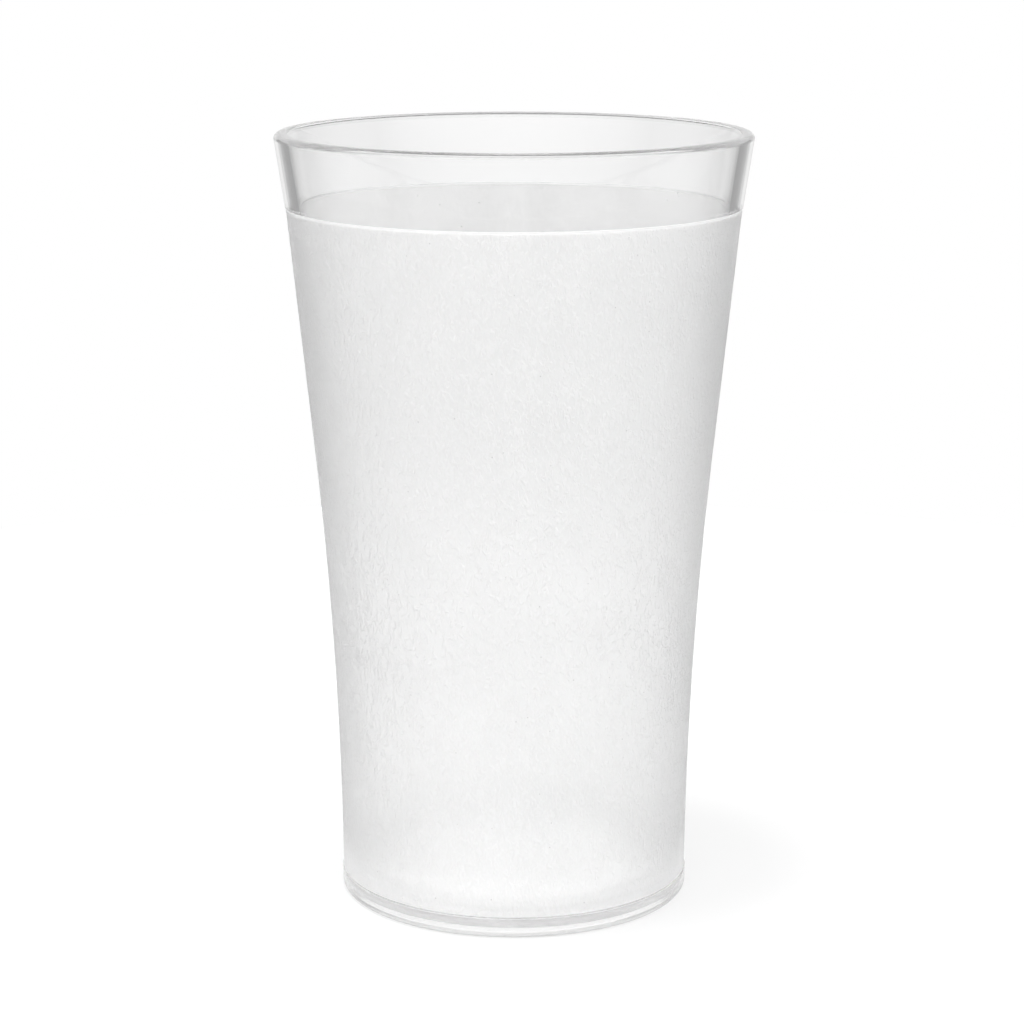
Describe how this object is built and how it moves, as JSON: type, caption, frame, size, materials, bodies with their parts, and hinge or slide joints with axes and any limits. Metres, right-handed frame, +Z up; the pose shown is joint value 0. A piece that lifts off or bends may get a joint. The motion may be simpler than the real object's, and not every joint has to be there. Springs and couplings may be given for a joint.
{
  "type": "pint glass",
  "caption": "Tall flared drinking tumbler with a frosted pebble-textured wall, a clear band under a rounded lip, a clear heel band and a shallow foot ring.",
  "frame": {"origin": "centre of the circle that the foot ring stands on, on the resting surface", "axes": "+Z up along the tumbler's axis from foot to mouth; every direction round +Z is alike"},
  "size_m": [0.091, 0.091, 0.149],
  "materials": {
    "clear_plastic": "polished water-clear moulded plastic",
    "frosted_plastic": "same clear plastic with a fine frosted pebble texture on the outside, smooth inside"
  },
  "bodies": {
    "root": {"rim_lip": "clear_plastic", "clear_band": "clear_plastic", "textured_wall": "frosted_plastic", "heel_band": "clear_plastic", "floor_disc": "clear_plastic", "foot_ring": "clear_plastic"}
  },
  "joints": []
}
